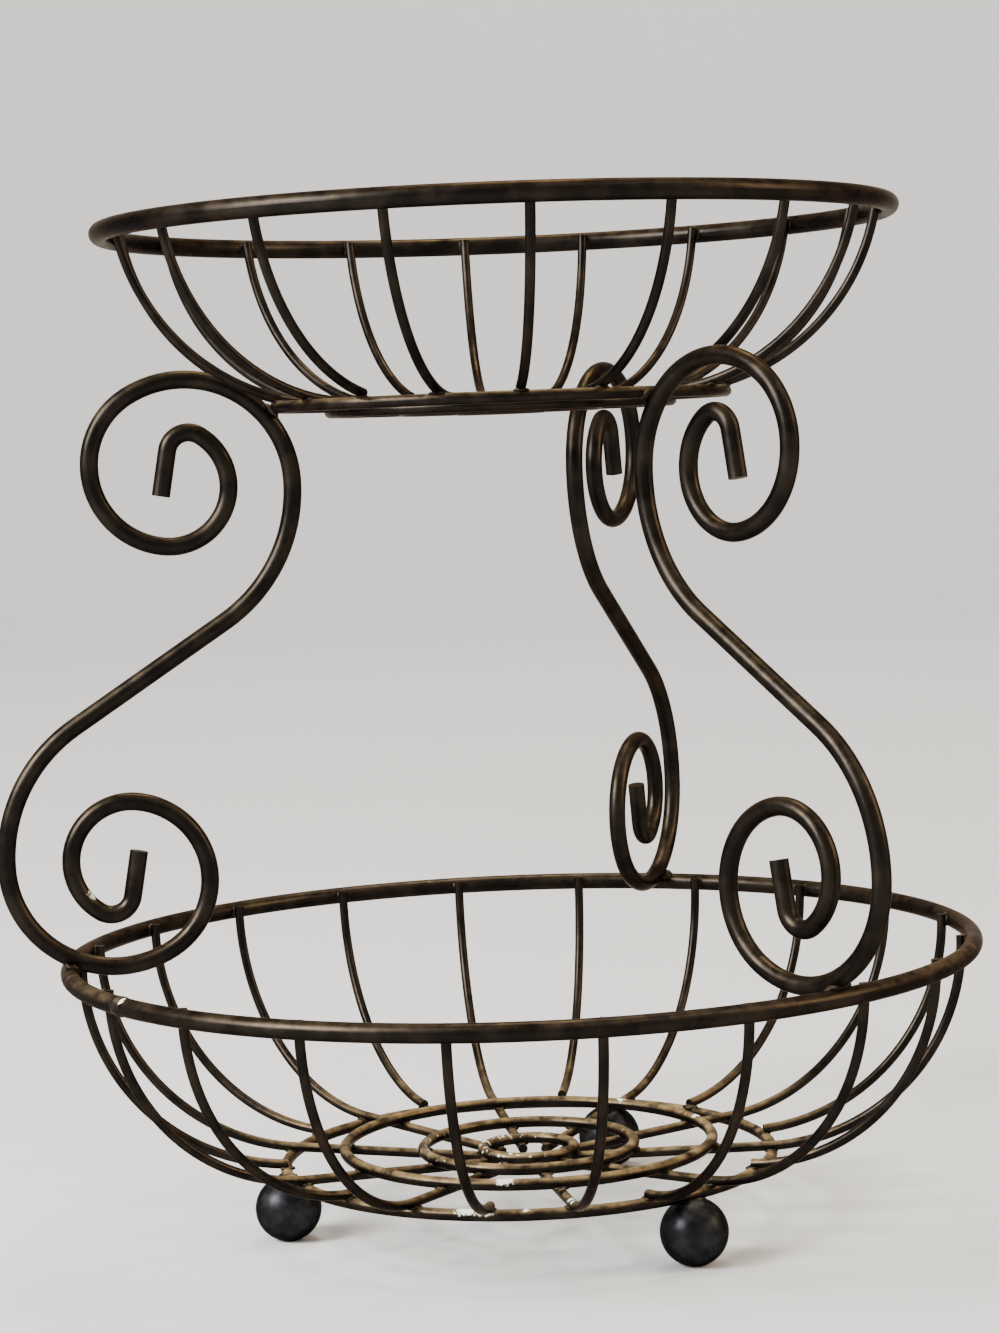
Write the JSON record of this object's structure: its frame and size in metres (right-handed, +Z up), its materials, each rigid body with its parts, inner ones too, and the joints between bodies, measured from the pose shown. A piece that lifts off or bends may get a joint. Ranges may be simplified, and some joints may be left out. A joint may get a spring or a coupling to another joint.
{
  "type": "tiered wire basket",
  "caption": "Tiered wire fruit basket: a wide open bowl of welded wire on ball feet carries a smaller wire bowl on S-shaped scroll legs, to hold produce on a counter.",
  "frame": {"origin": "on the basket's upright axis, on the surface that its three ball feet stand on", "axes": "+Z up; -X towards the leg that is on the left in the picture; -Y towards the picture's viewer, who stands about 9 degrees round towards -X"},
  "size_m": [0.3245, 0.306, 0.3373],
  "materials": {
    "rim_wire": "satin dark bronze coat, rubbed along the top",
    "rib_wire": "satin dark bronze coat",
    "floor_wire": "satin dark bronze coat, dusty on top",
    "leg_wire": "satin dark bronze coat",
    "ball_foot": "smooth satin black coat"
  },
  "bodies": {
    "root": {"ball_foot_back": "ball_foot", "ball_foot_front": "ball_foot", "ball_foot_left": "ball_foot", "lower_base_ring": "floor_wire", "lower_floor_ring_inner": "floor_wire", "lower_floor_ring_outer": "floor_wire", "lower_hub_ring": "floor_wire", "lower_long_rib_01": "rib_wire", "lower_long_rib_02": "rib_wire", "lower_long_rib_03": "rib_wire", "lower_long_rib_04": "rib_wire", "lower_long_rib_05": "rib_wire", "lower_long_rib_06": "rib_wire", "lower_long_rib_07": "rib_wire", "lower_long_rib_08": "rib_wire", "lower_long_rib_09": "rib_wire", "lower_long_rib_10": "rib_wire", "lower_rim": "rim_wire", "lower_short_rib_01": "rib_wire", "lower_short_rib_02": "rib_wire", "lower_short_rib_03": "rib_wire", "lower_short_rib_04": "rib_wire", "lower_short_rib_05": "rib_wire", "lower_short_rib_06": "rib_wire", "lower_short_rib_07": "rib_wire", "lower_short_rib_08": "rib_wire", "lower_short_rib_09": "rib_wire", "lower_short_rib_10": "rib_wire", "scroll_leg_back": "leg_wire", "scroll_leg_front": "leg_wire", "scroll_leg_left": "leg_wire", "upper_base_ring": "floor_wire", "upper_floor_ring_inner": "floor_wire", "upper_floor_ring_outer": "floor_wire", "upper_hub_ring": "floor_wire", "upper_long_rib_01": "rib_wire", "upper_long_rib_02": "rib_wire", "upper_long_rib_03": "rib_wire", "upper_long_rib_04": "rib_wire", "upper_long_rib_05": "rib_wire", "upper_long_rib_06": "rib_wire", "upper_long_rib_07": "rib_wire", "upper_long_rib_08": "rib_wire", "upper_long_rib_09": "rib_wire", "upper_rim": "rim_wire", "upper_short_rib_01": "rib_wire", "upper_short_rib_02": "rib_wire", "upper_short_rib_03": "rib_wire", "upper_short_rib_04": "rib_wire", "upper_short_rib_05": "rib_wire", "upper_short_rib_06": "rib_wire", "upper_short_rib_07": "rib_wire", "upper_short_rib_08": "rib_wire", "upper_short_rib_09": "rib_wire"}
  },
  "joints": []
}
